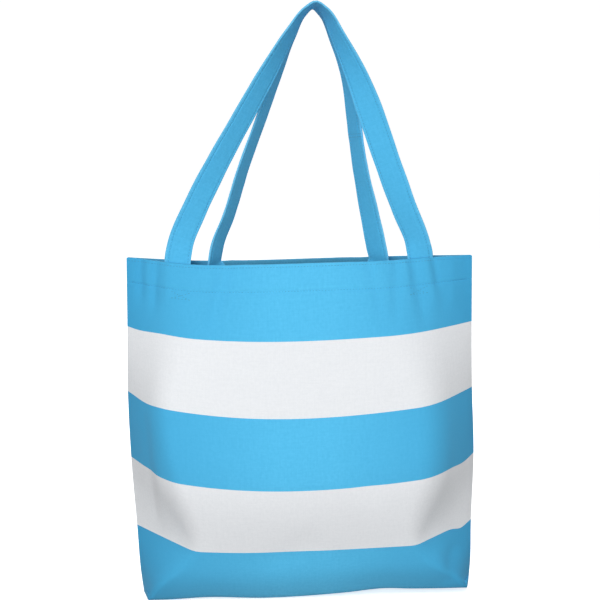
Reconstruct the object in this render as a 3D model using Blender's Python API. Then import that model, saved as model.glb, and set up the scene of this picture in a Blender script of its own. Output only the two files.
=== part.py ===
"""Striped canvas tote bag with two self-fabric shoulder handles.

The bag hangs open by its handles.  Metres, +Z up, -Y is the front, the origin
is the middle of the flat base.  One object per sub-part.
"""
import math

import bmesh
import bpy
import numpy as np
from mathutils import Vector

# ---------------------------------------------------------------- dimensions
CLOTH = 0.0011            # thickness of the canvas
GAP = 0.0003              # clearance kept between touching pieces
FACING_DROP = 0.030       # depth of the folded hem below the rim
STRAP_WIDTH = 0.030
STRAP_THICKNESS = 0.0026
THREAD_WIDTH = 0.0009
THREAD_THICKNESS = 0.0005
THREAD_INSET = 0.0030      # handle stitching in from the strap's edges
TAPE_THICKNESS = 0.0024   # bound seam allowance, two cloths in a tape
TAPE_REACH = 0.013        # how far the seam allowance stands into the bag
PIVOT_GAP = 0.0076        # free length between a sewn end and its moving strap
BASE_THICKNESS = 0.0016
BASE_TAPE = (0.004, 0.012)   # the base tape's two edges, in from the base seam
BASE_TAPE_REACH = 0.78       # share of the bag's width that the base tape spans
HEM_STITCHES = (("upper", 0.0026), ("lower", 0.0275))   # rows, down from the rim
END_STITCH_HALF = 0.0095     # half length of the stitching across a sewn end
END_STITCH_DROP = 0.0075     # that stitching below the hem
TAPE_FOOT, TAPE_TOP = 0.008, 0.002           # side tape's ends, from the rounding and the hem
TAPE_START = 0.001           # side tape in from the seam
END_ROWS = (0.001, 0.016)    # rows of a sewn end above the foot of the hem

# Heights, measured down the side seam, where the colour of the cloth changes.
BAND_EDGES = (0.0, 0.084, 0.165, 0.2435, 0.323, 0.401)
BAND_NAMES = ("blue_bottom", "white_lower", "blue_middle", "white_upper", "blue_top")
RIM = BAND_EDGES[-1]

# The rounding at the foot of the bag, and the half depth of the base inside it.
ROUNDING = 0.022
ROUNDING_PATH = 0.030
BASE_HALF_DEPTH = 0.031

# Section of the filled bag by height: half width, half depth, how square the
# section is, and how far the middle of the cloth sags below the side seams.
STATIONS = (
    # height, width, depth,  square, sag
    (0.000, 0.1945, 0.0310, 4.2, 0.0000),
    (0.022, 0.1960, 0.0470, 4.4, 0.0030),
    (0.084, 0.1980, 0.0610, 4.8, 0.0175),
    (0.165, 0.2013, 0.0750, 5.8, 0.0205),
    (0.2435, 0.2025, 0.0620, 4.6, 0.0185),
    (0.323, 0.2007, 0.0430, 3.6, 0.0125),
    (0.401, 0.2000, 0.0210, 3.0, 0.0065),
)

# Routes of the two handles from the left foot to the right foot.
# Each point: x, y, z and the turn of the strap about its own length, degrees.
FRONT_ROUTE = (
    (-0.1395, -0.0092, 0.4170, 0), (-0.1240, -0.0100, 0.4570, 14),
    (-0.0955, -0.0115, 0.5130, 30), (-0.0680, -0.0130, 0.5640, 38),
    (-0.0400, -0.0150, 0.6120, 48), (-0.0140, -0.0160, 0.6560, 66),
    (0.0025, -0.0162, 0.6800, 78), (0.0130, -0.0162, 0.6870, 84),
    (0.0235, -0.0162, 0.6790, 78), (0.0385, -0.0160, 0.6520, 64),
    (0.0580, -0.0150, 0.6120, 40), (0.0775, -0.0130, 0.5630, 16),
    (0.0965, -0.0115, 0.5100, 8), (0.1160, -0.0100, 0.4570, 14),
    (0.1320, -0.0092, 0.4170, 0),
)
BACK_ROUTE = (
    (-0.0975, 0.0148, 0.4130, 0), (-0.0860, 0.0150, 0.4460, 26),
    (-0.0665, 0.0155, 0.5060, 64), (-0.0500, 0.0160, 0.5540, 64),
    (-0.0290, 0.0162, 0.6120, 66), (-0.0110, 0.0162, 0.6530, 74),
    (0.0035, 0.0162, 0.6780, 82), (0.0130, 0.0162, 0.6850, 86),
    (0.0225, 0.0162, 0.6780, 82), (0.0360, 0.0162, 0.6500, 74),
    (0.0500, 0.0162, 0.6120, 66), (0.0600, 0.0160, 0.5560, 62),
    (0.0675, 0.0155, 0.5060, 56), (0.0795, 0.0150, 0.4460, 22),
    (0.0855, 0.0148, 0.4130, 0),
)

COLUMNS = 26              # facets across one panel
STRAP_STEPS = 44          # facets along one handle

# ------------------------------------------------------------------- finishes
FINISHES = {
    "canvas_blue": ((0.085, 0.440, 0.760), 0.82),
    "canvas_white": ((0.800, 0.805, 0.800), 0.80),
    "webbing_blue": ((0.075, 0.400, 0.700), 0.80),
    "thread_blue": ((0.050, 0.300, 0.560), 0.60),
    "tape_blue": ((0.060, 0.330, 0.580), 0.85),
}


def clear_scene():
    for item in list(bpy.data.objects):
        bpy.data.objects.remove(item)


def finish(node, name):
    """A fresh Principled material for one node."""
    colour, roughness = FINISHES[name]
    material = bpy.data.materials.new(node.name + "_" + name)
    material.use_nodes = True
    shader = material.node_tree.nodes["Principled BSDF"]
    shader.inputs["Base Color"].default_value = (*colour, 1.0)
    shader.inputs["Roughness"].default_value = roughness
    shader.inputs["Metallic"].default_value = 0.0
    node.data.materials.append(material)


def solid_from_grids(name, finish_name, outer, inner):
    """Close two equal grids of points into one solid piece."""
    rows, columns = len(outer), len(outer[0])
    shape = bmesh.new()
    sheets = [[[shape.verts.new(p) for p in row] for row in grid] for grid in (outer, inner)]
    for sheet in sheets:
        for r in range(rows - 1):
            for c in range(columns - 1):
                shape.faces.new((sheet[r][c], sheet[r][c + 1], sheet[r + 1][c + 1], sheet[r + 1][c]))
    rim = [(0, c) for c in range(columns)]
    rim += [(r, columns - 1) for r in range(1, rows)]
    rim += [(rows - 1, c) for c in range(columns - 2, -1, -1)]
    rim += [(r, 0) for r in range(rows - 2, 0, -1)]
    for (r0, c0), (r1, c1) in zip(rim, rim[1:] + rim[:1]):
        shape.faces.new((sheets[0][r0][c0], sheets[0][r1][c1], sheets[1][r1][c1], sheets[1][r0][c0]))
    bmesh.ops.recalc_face_normals(shape, faces=shape.faces)
    mesh = bpy.data.meshes.new(name)
    shape.to_mesh(mesh)
    shape.free()
    node = bpy.data.objects.new(name, mesh)
    bpy.context.scene.collection.objects.link(node)
    mesh.shade_smooth()
    mesh.set_sharp_from_angle(angle=math.radians(40))
    finish(node, finish_name)
    return node


# ------------------------------------------------------- surface of the bag
def smooth(x, xs, ys):
    """Smooth curve through (xs, ys), level beyond its two ends."""
    if x <= xs[0]:
        return ys[0]
    if x >= xs[-1]:
        return ys[-1]
    slopes = np.gradient(ys, xs)
    k = int(np.searchsorted(xs, x, side="right")) - 1
    step = xs[k + 1] - xs[k]
    t = (x - xs[k]) / step
    return ((2 * t**3 - 3 * t**2 + 1) * ys[k] + (t**3 - 2 * t**2 + t) * step * slopes[k]
            + (3 * t**2 - 2 * t**3) * ys[k + 1] + (t**3 - t**2) * step * slopes[k + 1])


TABLE = np.array(STATIONS)


def station(height, column):
    """One value of the section at a height; the rounding has its own depth curve."""
    return float(smooth(height, TABLE[1:, 0], TABLE[1:, column]))


def path_of(height):
    """Distance along the cloth from the edge of the base up to a height."""
    if height >= ROUNDING:
        return ROUNDING_PATH + height - ROUNDING
    return ROUNDING_PATH * math.acos(1 - height / ROUNDING) / (math.pi / 2)


def surface(q, path, side):
    """Outer face of the bag: q runs from -1 to 1 between the side seams."""
    if path < ROUNDING_PATH:
        turn = path / ROUNDING_PATH * math.pi / 2
        height = ROUNDING * (1 - math.cos(turn))
        share = height / ROUNDING
        width = TABLE[0, 1] + (TABLE[1, 1] - TABLE[0, 1]) * share
        depth = BASE_HALF_DEPTH + (TABLE[1, 2] - BASE_HALF_DEPTH) * math.sin(turn)
        square = TABLE[0, 3] + (TABLE[1, 3] - TABLE[0, 3]) * share
        sag = TABLE[1, 4] * share
    else:
        height = ROUNDING + path - ROUNDING_PATH
        width, depth, square, sag = (station(height, column) for column in (1, 2, 3, 4))
    across = min(abs(q), 1.0)
    return Vector((q * width, side * depth * (1 - across**square), height - sag * (1 - across**2)))


def cloth_point(q, path, side, inset):
    """A point under the outer face, inset measured square to the cloth."""
    dq, dp = 0.002, 0.0005
    low_q, high_q = max(q - dq, -1.0), min(q + dq, 1.0)
    low_p, high_p = max(path - dp, 0.0), path + dp
    across = surface(high_q, path, side) - surface(low_q, path, side)
    along = surface(q, high_p, side) - surface(q, low_p, side)
    normal = across.cross(along).normalized()
    if normal.y * side < 0:
        normal = -normal
    return surface(q, path, side) - normal * inset


def edge_q(path, side, inset, end):
    """Where a layer stops at the side seam, half a gap short of the other panel."""
    low, high = 0.80, 1.0
    for _ in range(26):
        middle = (low + high) / 2
        if cloth_point(end * middle, path, side, inset).y * side > GAP / 2:
            low = middle
        else:
            high = middle
    return end * low


def even_columns(count):
    """Positions across a panel at equal lengths of cloth."""
    fine = np.linspace(-1, 1, 801)
    section = np.array([surface(q, path_of(BAND_EDGES[2]), -1) for q in fine])
    length = np.concatenate(([0], np.cumsum(np.linalg.norm(np.diff(section, axis=0), axis=1))))
    return np.interp(np.linspace(0, length[-1], count + 1), length, fine)


ACROSS = even_columns(COLUMNS)


def row_places(path, side, inset):
    """Columns of one row, drawn in near the seams to where this layer stops."""
    knee = 0.80
    places = []
    for q in ACROSS:
        end = -1 if q < 0 else 1
        if abs(q) > knee:
            stop = abs(edge_q(path, side, inset, end))
            places.append(end * (knee + (abs(q) - knee) * (stop - knee) / (1 - knee)))
        else:
            places.append(q)
    return places


def layer(name, finish_name, side, paths, top_inset, bottom_inset, reach=None):
    """A sheet of the bag's wall between two insets, seam to seam or within reach."""
    grids = []
    for inset in (top_inset, bottom_inset):
        grid = []
        for path in paths:
            row = reach or row_places(path, side, inset)
            grid.append([cloth_point(q, path, side, inset) for q in row])
        grids.append(grid)
    return solid_from_grids(name, finish_name, *grids)


# --------------------------------------------------------------- bag pieces
SIDES = (("front", -1), ("back", 1))
RIM_PATH = path_of(RIM)
HEM_PATH = RIM_PATH - FACING_DROP


def band_paths(low, high):
    """Rows of one band, closer together round the foot of the bag."""
    if low < ROUNDING:
        foot = list(np.linspace(0.0, ROUNDING_PATH, 5))
        return foot + list(np.linspace(ROUNDING_PATH, path_of(high), 4))[1:]
    return list(np.linspace(path_of(low) + GAP, path_of(high), 4))


def panel_bands():
    """The striped cloth, one piece for each woven colour of each panel."""
    for label, side in SIDES:
        for name, low, high in zip(BAND_NAMES, BAND_EDGES, BAND_EDGES[1:]):
            colour = "canvas_blue" if name.startswith("blue") else "canvas_white"
            layer(f"{label}_band_{name}", colour, side, band_paths(low, high), 0.0, CLOTH)


def hem_facings():
    """The rim's cloth folded down inside and sewn twice."""
    for label, side in SIDES:
        paths = list(np.linspace(HEM_PATH, RIM_PATH, 3))
        outer = CLOTH + GAP
        layer(f"{label}_hem_facing", "canvas_blue", side, paths, outer, outer + CLOTH)


def hem_threads():
    """Two rows of stitching round the rim, one thin ribbon for each row and side."""
    for label, side in SIDES:
        for row, drop in HEM_STITCHES:
            paths = [RIM_PATH - drop - THREAD_WIDTH, RIM_PATH - drop]
            layer(f"{label}_hem_thread_{row}", "thread_blue", side, paths,
                  -GAP - THREAD_THICKNESS, -GAP)


def base_panel():
    """The flat bottom, a boat shape that fills the space between the two panels."""
    rows = []
    for z in (0.0, BASE_THICKNESS):
        ring = []
        for side in (-1, 1):
            for q in (ACROSS[2:-2] if side < 0 else ACROSS[-3:1:-1]):
                point = surface(q, 0.0, side)
                depth = abs(point.y) - 2 * GAP
                ring.append(Vector((point.x, side * depth, z)))
        rows.append(ring)
    shape = bmesh.new()
    rings = [[shape.verts.new(p) for p in ring] for ring in rows]
    half = len(rings[0]) // 2
    for ring in rings:
        for k in range(half - 1):
            shape.faces.new((ring[k], ring[k + 1], ring[-2 - k], ring[-1 - k]))
    count = len(rings[0])
    for k in range(count):
        n = (k + 1) % count
        shape.faces.new((rings[0][k], rings[0][n], rings[1][n], rings[1][k]))
    bmesh.ops.recalc_face_normals(shape, faces=shape.faces)
    mesh = bpy.data.meshes.new("base_panel")
    shape.to_mesh(mesh)
    shape.free()
    node = bpy.data.objects.new("base_panel", mesh)
    bpy.context.scene.collection.objects.link(node)
    finish(node, "canvas_blue")


def base_seam_tapes():
    """Bound allowances of the base seams, lying on the bottom inside the bag."""
    low = BASE_THICKNESS + GAP
    for label, side in SIDES:
        outer, inner = [], []
        for grid, z in ((outer, low + CLOTH), (inner, low)):
            for inset in BASE_TAPE:
                points = [surface(q, 0.0, side) for q in ACROSS if abs(q) < BASE_TAPE_REACH]
                grid.append([Vector((p.x, p.y - side * inset, z)) for p in points])
        solid_from_grids(f"{label}_base_seam_tape", "tape_blue", outer, inner)


def side_seam_tapes():
    """Bound side seams, a fin that stands into the bag below the hem."""
    clear = TAPE_THICKNESS / 2 + 3 * GAP
    for label, end in (("left", -1), ("right", 1)):
        near, far = [], []
        for path in np.linspace(ROUNDING_PATH + TAPE_FOOT, HEM_PATH - TAPE_TOP, 9):
            inside = [q for q in np.linspace(0.80, 0.995, 60)
                      if -cloth_point(end * q, path, -1, CLOTH).y > clear]
            x = surface(end * inside[-1], path, -1).x - end * TAPE_START
            height = surface(end, path, -1).z
            near.append(Vector((x, 0.0, height)))
            far.append(Vector((x - end * TAPE_REACH, 0.0, height)))
        half = Vector((0.0, TAPE_THICKNESS / 2, 0.0))
        front = [[n - half, f - half] for n, f in zip(near, far)]
        back = [[n + half, f + half] for n, f in zip(near, far)]
        solid_from_grids(f"{label}_side_seam_tape", "tape_blue", front, back)


# ------------------------------------------------------------------- handles
HANDLES = (("front", -1, FRONT_ROUTE), ("back", 1, BACK_ROUTE))
TAB_INSET = 2 * CLOTH + 2 * GAP


def route_curve(route, steps):
    """Smooth path through a handle's route: places, directions and turns."""
    route = np.array(route, dtype=float)
    length = np.concatenate(([0], np.cumsum(np.linalg.norm(np.diff(route[:, :3], axis=0), axis=1))))
    slopes = np.gradient(route, length, axis=0)
    result = []
    for s in np.linspace(0, length[-1], steps + 1):
        k = min(int(np.searchsorted(length, s, side="right")) - 1, len(length) - 2)
        step = length[k + 1] - length[k]
        t = (s - length[k]) / step
        value = ((2 * t**3 - 3 * t**2 + 1) * route[k] + (t**3 - 2 * t**2 + t) * step * slopes[k]
                 + (3 * t**2 - 2 * t**3) * route[k + 1] + (t**3 - t**2) * step * slopes[k + 1])
        result.append(value)
    return np.array(result)


def strap_frames(route):
    """Centre, width direction and face direction at each step of a handle."""
    values = route_curve(route, STRAP_STEPS)
    last = len(values) - 1
    frames = []
    for k, value in enumerate(values):
        ahead = values[min(k + 1, last)][:3]
        behind = values[max(k - 1, 0)][:3]
        along = Vector(ahead - behind).normalized()
        flat = Vector((0, 1, 0)).cross(along).normalized()
        turn = math.radians(value[3])
        width = flat * math.cos(turn) + Vector((0, 1, 0)) * math.sin(turn)
        width = (width - along * width.dot(along)).normalized()
        if k in (0, last):
            level = 1.0 if width.x > 0 else -1.0
            width = Vector((level / abs(width.x), 0, 0))
        face = along.cross(width).normalized()
        frames.append((Vector(value[:3]), width, face))
    return frames


def ribbon(name, finish_name, frames, offsets, depths):
    """A strip along a handle between two offsets across and two depths."""
    grids = []
    for depth in depths:
        grids.append([[c + w * x + f * depth for x in offsets] for c, w, f in frames])
    return solid_from_grids(name, finish_name, *grids)


def straps():
    """The two handles, each folded from one strip of the blue canvas."""
    half = STRAP_WIDTH / 2
    thick = STRAP_THICKNESS / 2
    rows = {"outer": THREAD_INSET - half, "inner": half - THREAD_INSET}
    strips = {row: (middle - THREAD_WIDTH / 2, middle + THREAD_WIDTH / 2) for row, middle in rows.items()}
    whole = (-half, *strips["outer"], *strips["inner"], half)
    for label, side, route in HANDLES:
        frames = strap_frames(route)
        node = ribbon(f"{label}_handle_strap", "webbing_blue", frames, whole, (-thick, thick))
        place_on_axis(node, label)
        depths = (side * (thick + GAP), side * (thick + GAP + THREAD_THICKNESS))
        for row, strip in strips.items():
            node = ribbon(f"{label}_handle_thread_{row}", "thread_blue", frames[1:-1], strip, depths)
            place_on_axis(node, label)


def pivot(label):
    """A point on the fold line of a handle, midway between its feet."""
    side, route = {h[0]: (h[1], h[2]) for h in HANDLES}[label]
    foot = (Vector(route[0][:3]) + Vector(route[-1][:3])) / 2
    return Vector((0.0, foot.y, foot.z - PIVOT_GAP / 2))


def place_on_axis(node, label):
    """Move a piece's origin to its fold line without moving the piece."""
    origin = pivot(label)
    for vertex in node.data.vertices:
        vertex.co -= origin
    node.location = origin


def sewn_ends():
    """The four ends of the handles, sewn flat inside the hem."""
    half = STRAP_WIDTH / 2
    down = Vector((0, 0, -PIVOT_GAP))
    for label, side, route in HANDLES:
        frames = strap_frames(route)
        for place, (centre, width, _) in (("left", frames[0]), ("right", frames[-1])):
            across = width if width.x > 0 else -width
            thick = Vector((0, 1, 0)) * side * STRAP_THICKNESS / 2
            middle = centre.x / TABLE[-1, 1]
            share = half / TABLE[-1, 1]
            paths = [*(HEM_PATH + above for above in END_ROWS), RIM_PATH]
            grids = []
            for depth, face in ((TAB_INSET, thick), (TAB_INSET + STRAP_THICKNESS, -thick)):
                grid = [[cloth_point(middle + share * k, path, side, depth) for k in (-1, 0, 1)]
                        for path in paths]
                crown = [centre + down + across * half * k + face for k in (-1, 0, 1)]
                grids.append(grid + [crown])
            solid_from_grids(f"{label}_handle_end_{place}", "webbing_blue", *grids)


def end_box_stitches():
    """The crossed stitching that holds each sewn end, seen on the outside."""
    for label, side, route in HANDLES:
        for place, foot in (("left", route[0]), ("right", route[-1])):
            middle = foot[0] / TABLE[-1, 1]
            share = END_STITCH_HALF / TABLE[-1, 1]
            reach = [middle - share, middle, middle + share]
            low = HEM_PATH - END_STITCH_DROP
            layer(f"{label}_end_stitch_{place}", "thread_blue", side, [low, low + THREAD_WIDTH],
                  -GAP - THREAD_THICKNESS, -GAP, reach)


clear_scene()
panel_bands()
hem_facings()
hem_threads()
base_panel()
base_seam_tapes()
side_seam_tapes()
sewn_ends()
end_box_stitches()
straps()
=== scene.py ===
import math
from collections import namedtuple

import bpy
import numpy as np
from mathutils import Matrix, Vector


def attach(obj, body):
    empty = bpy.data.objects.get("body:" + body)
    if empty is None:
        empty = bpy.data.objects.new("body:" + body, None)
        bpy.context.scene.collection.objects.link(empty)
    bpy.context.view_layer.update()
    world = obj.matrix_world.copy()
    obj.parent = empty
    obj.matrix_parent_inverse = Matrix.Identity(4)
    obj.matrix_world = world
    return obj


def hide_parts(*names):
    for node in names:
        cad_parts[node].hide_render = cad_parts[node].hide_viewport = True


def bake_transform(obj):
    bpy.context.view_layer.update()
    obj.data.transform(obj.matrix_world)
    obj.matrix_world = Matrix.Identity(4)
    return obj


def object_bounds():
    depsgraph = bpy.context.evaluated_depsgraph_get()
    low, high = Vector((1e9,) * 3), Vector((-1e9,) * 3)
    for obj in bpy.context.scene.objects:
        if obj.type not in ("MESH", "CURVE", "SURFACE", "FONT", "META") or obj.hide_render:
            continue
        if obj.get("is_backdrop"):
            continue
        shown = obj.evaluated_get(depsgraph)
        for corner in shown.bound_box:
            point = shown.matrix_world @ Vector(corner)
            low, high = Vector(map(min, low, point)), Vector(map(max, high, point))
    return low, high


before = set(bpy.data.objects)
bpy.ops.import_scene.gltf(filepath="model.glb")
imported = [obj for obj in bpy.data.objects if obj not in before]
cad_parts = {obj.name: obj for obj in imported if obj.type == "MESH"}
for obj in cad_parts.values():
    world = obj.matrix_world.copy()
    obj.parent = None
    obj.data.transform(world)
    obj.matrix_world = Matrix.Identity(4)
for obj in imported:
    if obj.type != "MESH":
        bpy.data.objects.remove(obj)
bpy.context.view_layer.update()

# ---------------------------------------------------------- the two striped panels
# The bag's front and back are two lengths of heavy plain-woven cotton canvas in five broad stripes.
# Each starts in the base seam, rises to the rim, turns over it and is hemmed down the inside.
# Its sides are sewn to the other panel with narrow allowances that stand into the bag.
CLOTH = 0.0010               # thickness of the canvas
SEAM_GAP = 0.0006            # from the side seam to the middle of each panel's cloth
RIM_ROLL = 0.00068           # radius of the turn over the rim, to the middle of the cloth
HEM_DEPTH = 0.0300
HEM_ROWS = (0.0029, 0.0275)  # the two rows of stitching, measured down from the rim
HEM_TAPER = 0.976            # the turned-in hem is a little narrower than the outside
SIDE_ALLOWANCE = (0.0008, 0.0030, 0.0065)
FOOT_ALLOWANCE = (0.0080, 0.0040, 0.0010)
PANEL_COLUMNS = 118
END_COLUMNS = np.array((0.9585, 0.9655, 0.9725, 0.9885))    # extra columns round the box corners
OUTSIDE_ROWS = (7, 20, 22, 21, 21, 12, 30)   # rows of points in each stretch from foot to rim
ROLL_ROWS, INSIDE_ROWS = 7, 26               # and over the rim, and down the inside
HEM_CLOSE = 0.034            # the last of those stretches starts this far below the rim
HEM_TRIM = 0.35              # the side allowances are cut back to this share inside the hem

# The hanging bag's cross-section by height. Each panel is a wide flat front between two box corners,
# with a narrower slope from each corner back to the side seam.
SECTIONS = np.array((
    # height, half width left and right, depth, box corner left and right, softness, sag, sag at the corners
    (0.0000, 0.1888, 0.2003, 0.0350, 0.968, 0.968, 0.05, 0.0000, 0.70),
    (0.0220, 0.1916, 0.2016, 0.0475, 0.895, 0.875, 0.22, 0.0020, 0.70),
    (0.0829, 0.1957, 0.2018, 0.0603, 0.65, 0.64, 0.10, 0.0162, 0.70),
    (0.1658, 0.2011, 0.2034, 0.0744, 0.78, 0.73, 0.35, 0.0230, 0.10),
    (0.2448, 0.2035, 0.2000, 0.0607, 0.81, 0.73, 0.32, 0.0214, 0.00),
    (0.3233, 0.2027, 0.1983, 0.0426, 0.71, 0.62, 0.38, 0.0142, 0.10),
    (0.4010, 0.2023, 0.1973, 0.0214, 0.64, 0.46, 0.28, 0.0057, 0.90),
))
STRIPES = (0.0829, 0.1658, 0.2448, 0.3233)   # heights where the colour changes
RIM, RIM_LEFT, RIM_RIGHT = SECTIONS[-1, :3]
CROWN = 0.10                 # how much the flat front falls away towards its corners
TILT = 0.0016                # the left half hangs a little lower
ROUNDING, ROUNDING_PATH = 0.0080, 0.0118     # the cloth's turn under the foot of the bag
FOOT_TUCK = 0.0040                           # how far that turn draws the base seam in
FOOT_HEIGHT = 0.0007
# The foot's edge rises a little towards the right: (place across, rise).
FOOT_LINE = np.array(((-1.0, 0.0), (-0.85, 0.0006), (-0.6, 0.0030), (-0.25, 0.0012), (0.0, 0.0026),
                      (0.25, 0.0058), (0.48, 0.0098), (0.62, 0.0086), (1.0, 0.0076)))

# Places where the cloth hangs lower: place across, height, reach across, reach up, drop.
DROPS = (
    (0.93, 0.083, 0.05, 0.030, 0.0048),
    (0.92, 0.166, 0.07, 0.030, 0.0036),
    (-0.94, 0.323, 0.10, 0.035, 0.0030),
    (-0.90, 0.245, 0.07, 0.030, 0.0026),
)

# Soft folds: from (x, height), to (x, height), half width, rise. A minus rise is a hollow.
FOLDS = {-1: (
    ((-0.080, 0.425), (-0.114, 0.318), 0.0095, -0.0036),
    ((-0.064, 0.425), (-0.092, 0.330), 0.0090, 0.0016),
    ((-0.167, 0.425), (-0.173, 0.335), 0.0052, -0.0030),
    ((-0.187, 0.425), (-0.187, 0.345), 0.0050, -0.0028),
    ((-0.150, 0.425), (-0.158, 0.350), 0.0060, 0.0016),
    ((0.071, 0.425), (0.092, 0.328), 0.0058, -0.0024),
    ((0.083, 0.425), (0.084, 0.352), 0.0045, 0.0013),
    ((0.108, 0.425), (0.104, 0.325), 0.0065, -0.0023),
    ((0.115, 0.425), (0.121, 0.352), 0.0045, 0.0014),
    ((0.122, 0.425), (0.141, 0.318), 0.0062, -0.0026),
    ((0.137, 0.425), (0.156, 0.332), 0.0060, 0.0019),
    ((0.147, 0.425), (0.158, 0.358), 0.0052, -0.0018),
    ((0.172, 0.425), (0.176, 0.330), 0.0080, 0.0011),
    ((0.045, 0.225), (0.085, 0.135), 0.0140, -0.0016),
    ((-0.185, 0.250), (-0.170, 0.082), 0.0055, -0.0010),
    ((-0.172, 0.200), (-0.158, 0.080), 0.0070, 0.0008),
    ((-0.150, 0.180), (-0.110, 0.070), 0.0150, -0.0004),
    ((0.186, 0.260), (0.165, 0.110), 0.0110, -0.0003),
    ((0.176, 0.070), (0.168, -0.010), 0.0100, -0.0020),
    ((0.128, 0.160), (0.150, 0.040), 0.0130, -0.0006),
    ((0.020, 0.110), (-0.060, 0.050), 0.0180, -0.0010),
), 1: (
    ((0.060, 0.425), (0.105, 0.300), 0.0100, -0.0013),
    ((-0.100, 0.425), (-0.075, 0.330), 0.0070, -0.0010),
    ((-0.088, 0.425), (-0.060, 0.325), 0.0070, 0.0009),
    ((0.130, 0.420), (0.150, 0.320), 0.0070, -0.0012),
    ((-0.150, 0.418), (-0.165, 0.335), 0.0065, 0.0010),
    ((-0.060, 0.250), (-0.105, 0.130), 0.0150, -0.0018),
    ((0.190, 0.280), (0.172, 0.090), 0.0080, -0.0022),
    ((-0.188, 0.250), (-0.165, 0.080), 0.0090, -0.0020),
    ((0.080, 0.160), (0.120, 0.050), 0.0150, -0.0014),
    ((-0.020, 0.120), (0.050, 0.045), 0.0180, -0.0011),
)}
# Fine ripples all over: how steeply each runs across and up, and its start.
RIPPLES = np.random.default_rng(7)
RIPPLE_COUNT, RIPPLE_ACROSS, RIPPLE_UP, RIPPLE_RISE = 14, 0.05, 0.07, 0.00010
WAVES = [(RIPPLES.uniform(-1, 1) / RIPPLE_ACROSS, RIPPLES.uniform(-1, 1) / RIPPLE_UP,
          RIPPLES.uniform(0, 6.28)) for _ in range(RIPPLE_COUNT)]


def smooth(x, xs, ys):
    """Smooth curve through (xs, ys), level beyond its two ends."""
    slopes = np.gradient(ys, xs)
    x = np.clip(x, xs[0], xs[-1])
    k = np.clip(np.searchsorted(xs, x, side="right") - 1, 0, len(xs) - 2)
    step = xs[k + 1] - xs[k]
    t = (x - xs[k]) / step
    return ((2 * t**3 - 3 * t**2 + 1) * ys[k] + (t**3 - 2 * t**2 + t) * step * slopes[k]
            + (3 * t**2 - 2 * t**3) * ys[k + 1] + (t**3 - t**2) * step * slopes[k + 1])


def ease(x, low, high):
    """0 below low, 1 above high, and a smooth step between them."""
    t = np.clip((x - low) / (high - low), 0, 1)
    return t * t * (3 - 2 * t)


def path_to(height):
    """Distance up the cloth from the base seam to a height."""
    return ROUNDING_PATH + height - ROUNDING


RIM_PATH = path_to(RIM)


def wall(q, path, side):
    """The bag's smooth shape: q runs from -1 to 1 between the side seams, path up from the base seam."""
    q, path = np.broadcast_arrays(np.asarray(q, float), np.asarray(path, float))
    risen = np.clip(path / ROUNDING_PATH, 0, 1)
    height = np.where(path < ROUNDING_PATH, ROUNDING * risen**2, ROUNDING + path - ROUNDING_PATH)
    left, right, depth, corner_left, corner_right, softness, sag, cornered = (
        smooth(height, SECTIONS[:, 0], SECTIONS[:, k]) for k in range(1, 9))
    depth = depth - FOOT_TUCK * (1 - risen) ** 2
    corner = np.where(q < 0, corner_left, corner_right)
    flat = 1 - CROWN * q**2
    slope = (1 - np.abs(q)) / (1 - corner) * (1 - CROWN * corner**2)
    mix = np.clip(0.5 + 0.5 * (slope - flat) / softness, 0, 1)
    share = slope * (1 - mix) + flat * mix - softness * mix * (1 - mix)
    up = np.clip(height / STRIPES[0], 0, 1)
    lift = smooth(q, FOOT_LINE[:, 0], FOOT_LINE[:, 1])
    x = q * np.where(q < 0, left, right)
    y = side * (SEAM_GAP + depth * share)
    z = (FOOT_HEIGHT + height - sag * (cornered * share + (1 - cornered) * (1 - q**2))
         + TILT * up * np.sin(math.pi * q) + lift * (1 - ease(up, 0.0, 1.0)))
    for place, level, wide, tall, drop in DROPS:
        z = z - drop * np.exp(-((q - place) / wide) ** 2 - ((height - level) / tall) ** 2)
    return np.stack((x, y, z), axis=-1)


def square_to(place, q, path, side):
    """Unit directions across and up a surface and out of it."""
    dq, dp = 0.002, 0.0008
    across = place(np.minimum(q + dq, 1.0), path, side) - place(np.maximum(q - dq, -1.0), path, side)
    up = place(q, path + dp, side) - place(q, path - dp, side)
    out = np.cross(across, up) * -side
    unit = [v / np.linalg.norm(v, axis=-1, keepdims=True) for v in (across, up, out)]
    return unit


def fold_rise(x, height, side):
    """How far the folds and the ripples move the cloth."""
    rise = sum(RIPPLE_RISE * np.sin(a * x + b * height + c) for a, b, c in WAVES)
    for (x0, z0), (x1, z1), width, peak in FOLDS[side]:
        along = np.array((x1 - x0, z1 - z0))
        length = np.linalg.norm(along)
        along /= length
        t = ((x - x0) * along[0] + (height - z0) * along[1]) / length
        off = (x - x0) * -along[1] + (height - z0) * along[0]
        fade = ease(t, 0.0, 0.25) * (1 - ease(t, 0.65, 1.0))
        rise = rise + peak * fade * np.exp(-(off / width) ** 2)
    return rise


PULL_REACH, PULL_RISE = 0.0055, 0.00022      # the puckers beside a row of stitching
PUCKER, PUCKER_DRIFT, PUCKER_FADE = 0.0021, 0.013, 0.031     # their lengths along the rim
HEM_GROOVES, GROOVE_REACH = (0.00014, 0.00075), 0.0009   # each row's groove, its depth and its reach


def hem_pull(x, path):
    """The small puckers and the groove that the two rows of hem stitching draw in the cloth."""
    pull = 0.0
    for down, groove in zip(HEM_ROWS, HEM_GROOVES):
        off = path - (RIM_PATH - down)
        pucker = np.sin(x / PUCKER + 2.0 * np.sin(x / PUCKER_DRIFT)) * np.sin(x / PUCKER_FADE + 1.0)
        pull = pull + PULL_RISE * pucker * np.exp(-(off / PULL_REACH) ** 2)
        pull = pull - groove * np.exp(-(off / GROOVE_REACH) ** 2)
    return pull


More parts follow.
